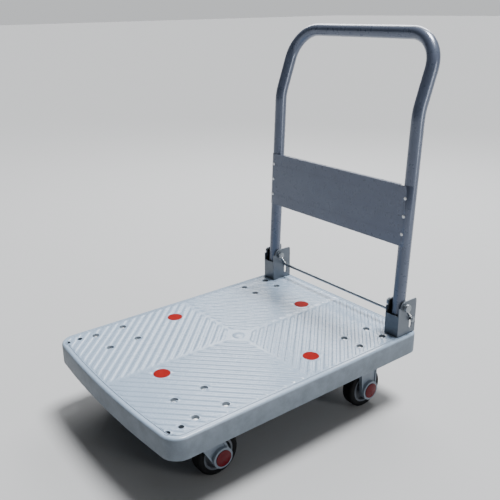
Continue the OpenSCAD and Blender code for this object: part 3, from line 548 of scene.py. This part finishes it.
def deck_underside(bm):
    """Bosses that carry the bolts and the caps, stiffening ribs, and the pads over the casters."""
    roof = DECK_TOP - WALL + 0.2
    sink = DECK_TOP - SINK_DEPTH
    for x, y in bolt_places:
        lathe(bm, x, y, [(SINK_R, roof), (SINK_R, sink), (BOLT_HOLE_R, sink), (BOLT_HOLE_R, MOUNT_Z),
                         (SINK_R + BOSS_WALL, MOUNT_Z), (SINK_R + BOSS_WALL, roof)])
    boss = DECK_TOP - BRACKET_BOSS_H
    for x, y in bracket_bolts:
        lathe(bm, x, y, [(BOLT_HOLE_R, roof), (BOLT_HOLE_R, boss),
                         (BRACKET_BOSS_R, boss), (BRACKET_BOSS_R, roof)])
    cap_low = DECK_TOP - CAP_FLOOR
    for x, y in cap_places:
        lathe(bm, x, y, [(CAP_R + CAP_GAP, roof), (CAP_R + CAP_GAP, roof - 1), (CAP_R - 2.5, roof - 1),
                         (CAP_R - 2.5, cap_low), (CAP_R + 3, cap_low), (CAP_R + 3, roof)])
    inner = outline(WALL / 2)
    rib_low = DECK_TOP - WALL - RIB_DEPTH
    for x in (RIB_X, swivel_x - swivel_half[0], HALF_W - WALL - SIDE_RIB_INSET):
        for s in SIDES:
            lo, hi = crossings(inner, 0, s * x)
            block(bm, (s * x - RIB_HALF, lo, rib_low), (s * x + RIB_HALF, hi, roof))
    for y in (FRONT + RIB_Y, swivel_y, MID_Y, fixed_y - 2 * fixed_half[1], fixed_y):
        lo, hi = crossings(inner, 1, y)
        block(bm, (lo, y - RIB_HALF, rib_low), (hi, y + RIB_HALF, roof))
    for cx, cy, half in casters:
        wide, deep = half[0] + PLATE_PAD, half[1] + PLATE_PAD
        for s in SIDES:
            block(bm, (s * cx - wide, cy - deep, MOUNT_Z),
                  (s * cx + wide, cy + deep, MOUNT_Z + PLATE_PAD_H), PLATE_PAD_SOFT)


def deck_shell():
    """The deck's moulding: the treaded top with its holes, the skirt, and everything below the top."""
    bm = bmesh.new()
    holes = [(*h, HOLE_SIDES) for h in HOLES]
    rims = [circle(hx, hy, r + out, HOLE_SIDES) for hx, hy, r in HOLES for out in (1.0, 2.4, 4.0)]
    rims += [circle(0, MID_Y, PAD_R + out, PAD_SIDES) for out in (-1.2, 0.0, 0.6)]
    verts, faces, loops = triangles(outline(FIELD_INSET), holes, field_points(), rims)
    top = [bm.verts.new((p.x, p.y, DECK_TOP + top_height(p.x, p.y))) for p in verts]
    for f in faces:
        bm.faces.new([top[i] for i in f])
    last = [top[i] for i in loops[0]]
    for v in last:
        v.co.z = DECK_TOP + FIELD_LOW
    for inset, z in deck_profile():
        now = ring(bm, outline(inset), DECK_TOP + z)
        bridge(bm, last, now)
        last = now
    # underside of the top, with the same holes
    verts, faces, under = triangles(outline(WALL), holes, [])
    table = {i: last[k] for k, i in enumerate(under[0])}
    for i, p in enumerate(verts):
        if i not in table:
            table[i] = bm.verts.new((p.x, p.y, DECK_TOP - WALL))
    for f in faces:
        bm.faces.new([table[i] for i in f])
    for a, b in zip(loops[1:], under[1:]):
        bridge(bm, [top[i] for i in a], [table[i] for i in b])
    deck_underside(bm)
    return piece("deck_moulding", bm, "deck_plastic", "truck", "deck", smooth_angle=30.0)


# ---------------------------------------------------------------- springs

def sweep(bm, path, r, n=10):
    """A closed round bar along a list of points."""
    angles = [2 * math.pi * k / n for k in range(n)]
    rings = []
    side = None
    for i, p in enumerate(path):
        along = (path[min(i + 1, len(path) - 1)] - path[max(i - 1, 0)]).normalized()
        if side is None:
            side = along.orthogonal().normalized()
        side = (side - along * side.dot(along)).normalized()
        other = along.cross(side)
        rings.append([bm.verts.new(p + r * (math.cos(a) * side + math.sin(a) * other)) for a in angles])
    for a, b in zip(rings, rings[1:]):
        bridge(bm, a, b)
    bm.faces.new(list(reversed(rings[0])))
    bm.faces.new(rings[-1])


rod_lo, rod_hi = box_mm("lock_rod")
rod_y, rod_z = (rod_lo.y + rod_hi.y) / 2, (rod_lo.z + rod_hi.z) / 2
fold = next(j for j in frame["joints"] if j["name"] == "handle_fold")
pivot = Vector(fold["pos_m"]) / MM
PIVOT_R, ROD_R = 5.0, 4.0
WIRE_R, COIL_R, COIL_GAP, COIL_SIDES = 0.55, 1.75, 0.08, 14
EYE_GAP = 0.4                   # from the pivot or rod to the wire of an eye
EYE_TO_COIL = 1.6
EYE_SWEEP, EYE_STEPS = 320, 28
SPRING_OFFSET = 2.7             # from a bracket's side plate to the middle of a spring


def springs(s, tag):
    """The two tension springs of one bracket, with an eye round the pivot bolt and one round the rod."""
    bm = bmesh.new()
    top = Vector((0, pivot.y, pivot.z))
    low = Vector((0, rod_y, rod_z))
    along = (low - top).normalized()
    reach = (low - top).length
    across = Vector((1, 0, 0))
    normal = along.cross(across)
    eye_top, eye_low = PIVOT_R + EYE_GAP + WIRE_R, ROD_R + EYE_GAP + WIRE_R
    begin, end = eye_top + EYE_TO_COIL, reach - eye_low - EYE_TO_COIL
    turns = int((end - begin) / (2 * WIRE_R + COIL_GAP))

    def eye(middle, radius, first):
        angles = [math.radians(first + EYE_SWEEP * k / EYE_STEPS) for k in range(EYE_STEPS + 1)]
        return [middle + radius * (math.cos(a) * along + math.sin(a) * normal) for a in angles]

    for i in SIDES:
        centre = Vector((s * bracket_x + i * (bracket_half + SPRING_OFFSET), 0, 0))
        path = eye(centre + top, eye_top, 40)
        for k in range(turns * COIL_SIDES + 1):
            a = 2 * math.pi * k / COIL_SIDES
            place = begin + (end - begin) * k / (turns * COIL_SIDES)
            path.append(centre + top + along * place + COIL_R * (math.cos(a) * normal + math.sin(a) * across))
        path += eye(centre + low, eye_low, 180)
        sweep(bm, path, WIRE_R)
    obj = piece("springs_" + tag, bm, "spring_steel", None, "lock_springs_" + tag, smooth_angle=60.0)
    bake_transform(obj)
    return obj


deck_shell()
springs(-1, "left")
springs(1, "right")

# ---------------------------------------------------------------- finish on the carried-over CAD nodes

for name, obj in frame["nodes"].items():
    mat = MATERIALS[SLOT_OF[name]]
    # painted shade and painted highlight: these zinc parts take the darker or the lighter steel copy
    if name in PAINTED_SHADE_STEEL_NODES:
        mat = STEEL_PAINTED_SHADE
    if name in PAINTED_HIGHLIGHT_STEEL_NODES:
        mat = STEEL_PAINTED_HIGHLIGHT
    obj.data.materials.clear()
    obj.data.materials.append(mat)

# the folded steel and the moulded forks have softened edges, in millimetres
SOFT_EDGES = {"bracket_left": 0.5, "bracket_right": 0.5, "handle_panel": 0.3,
              "swivel_fork_left": 0.6, "swivel_fork_right": 0.6,
              "rigid_fork_left": 0.6, "rigid_fork_right": 0.6}
for name, width in SOFT_EDGES.items():
    obj = frame["nodes"][name]
    weld = obj.modifiers.new("weld", "WELD")
    weld.merge_threshold = 1e-6
    soft = obj.modifiers.new("soft_edges", "BEVEL")
    soft.width = width * MM
    soft.segments = 2
    soft.limit_method = "ANGLE"
    soft.angle_limit = math.radians(50)
    soft.harden_normals = True

# ---------------------------------------------------------------- studio

FLOOR_HALF = 40000.0


def floor():
    """A plain pale floor that reaches the horizon."""
    bm = bmesh.new()
    corners = [(-FLOOR_HALF, -FLOOR_HALF), (FLOOR_HALF, -FLOOR_HALF), (FLOOR_HALF, FLOOR_HALF),
               (-FLOOR_HALF, FLOOR_HALF)]
    bm.faces.new([bm.verts.new((x, y, 0)) for x, y in corners])
    mesh = bpy.data.meshes.new("floor")
    bm.to_mesh(mesh)
    bm.free()
    mesh.transform(Matrix.Scale(MM, 4))
    mat, tree, bsdf = shader("floor_white")
    bsdf.inputs["Base Color"].default_value = (0.30, 0.304, 0.309, 1)
    bsdf.inputs["Roughness"].default_value = 0.9
    mesh.materials.append(mat)
    obj = bpy.data.objects.new("floor", mesh)
    bpy.context.scene.collection.objects.link(obj)


def area(name, place, target, size, power):
    """A soft panel of light at a place, turned to a target."""
    light = bpy.data.lights.new(name, "AREA")
    light.shape = "RECTANGLE"
    light.size, light.size_y = size
    light.energy = power
    obj = bpy.data.objects.new(name, light)
    obj.location = place
    obj.rotation_mode = "QUATERNION"
    obj.rotation_quaternion = (Vector(target) - Vector(place)).to_track_quat("-Z", "Y")
    bpy.context.scene.collection.objects.link(obj)


def studio_sky():
    """A pale band at the horizon, a quieter wall above it and a bright ceiling; the front side is dim."""
    world = bpy.data.worlds.new("studio")
    world.use_nodes = True
    tree = world.node_tree
    coords = tree.nodes.new("ShaderNodeTexCoord").outputs["Generated"]
    split = tree.nodes.new("ShaderNodeSeparateXYZ")
    tree.links.new(coords, split.inputs["Vector"])
    height = spread(tree, split.outputs["Z"], 0.0, 1.0, -1.0, 1.0)
    levels = [(0.0, 0.35), (0.52, 0.70), (0.55, 0.20), (0.78, 0.26), (1.0, 0.70)]
    band = ramp(tree, height, [(place, (0.96 * v, 0.98 * v, v)) for place, v in levels])
    side = spread(tree, split.outputs["Y"], 0.14, 1.0, -0.75, 0.10)
    tree.links.new(band, tree.nodes["Background"].inputs["Color"])
    tree.links.new(side, tree.nodes["Background"].inputs["Strength"])
    bpy.context.scene.world = world


def sun(towards, strength, spread_deg):
    """A large soft light from far away, in the direction given."""
    light = bpy.data.lights.new("overhead", "SUN")
    light.energy = strength
    light.angle = math.radians(spread_deg)
    obj = bpy.data.objects.new("overhead", light)
    obj.rotation_mode = "QUATERNION"
    obj.rotation_quaternion = Vector(towards).to_track_quat("Z", "Y")
    bpy.context.scene.collection.objects.link(obj)


floor()
studio_sky()
sun((0.06, 0.28, 0.96), 8.8, 20)
area("side", (2.6, 0.9, 0.9), (0, 0.25, 0.45), (0.5, 1.6), 26)
area("back", (-1.5, 1.9, 2.1), (0, 0.0, 0.2), (2.2, 1.3), 85)

# ---------------------------------------------------------------- camera

CAM_AZ, CAM_EL, CAM_ROLL = math.radians(52.73), math.radians(20.0), math.radians(-0.89)
CAM_PLACE = (1.1466, -0.8493 + MID_Y * MM, 0.748 + DECK_TOP * MM)
CAM_SENSOR, CAM_LENS, CAM_SHIFT = 36.0, 47.71, (0.010, -0.0082)
back = Vector((math.sin(CAM_AZ) * math.cos(CAM_EL), -math.cos(CAM_AZ) * math.cos(CAM_EL), math.sin(CAM_EL)))
level = Vector((math.cos(CAM_AZ), math.sin(CAM_AZ), 0.0))
upright = back.cross(level)
right = math.cos(CAM_ROLL) * level + math.sin(CAM_ROLL) * upright
up = -math.sin(CAM_ROLL) * level + math.cos(CAM_ROLL) * upright
camera = bpy.data.objects.new("camera", bpy.data.cameras.new("camera"))
camera.rotation_mode = "QUATERNION"
camera.rotation_quaternion = Matrix((right, up, back)).transposed().to_quaternion()
camera.location = CAM_PLACE
camera.data.sensor_width = CAM_SENSOR
camera.data.lens = CAM_LENS
camera.data.shift_x, camera.data.shift_y = CAM_SHIFT
camera.data.clip_end = 100.0
bpy.context.scene.collection.objects.link(camera)
bpy.context.scene.camera = camera
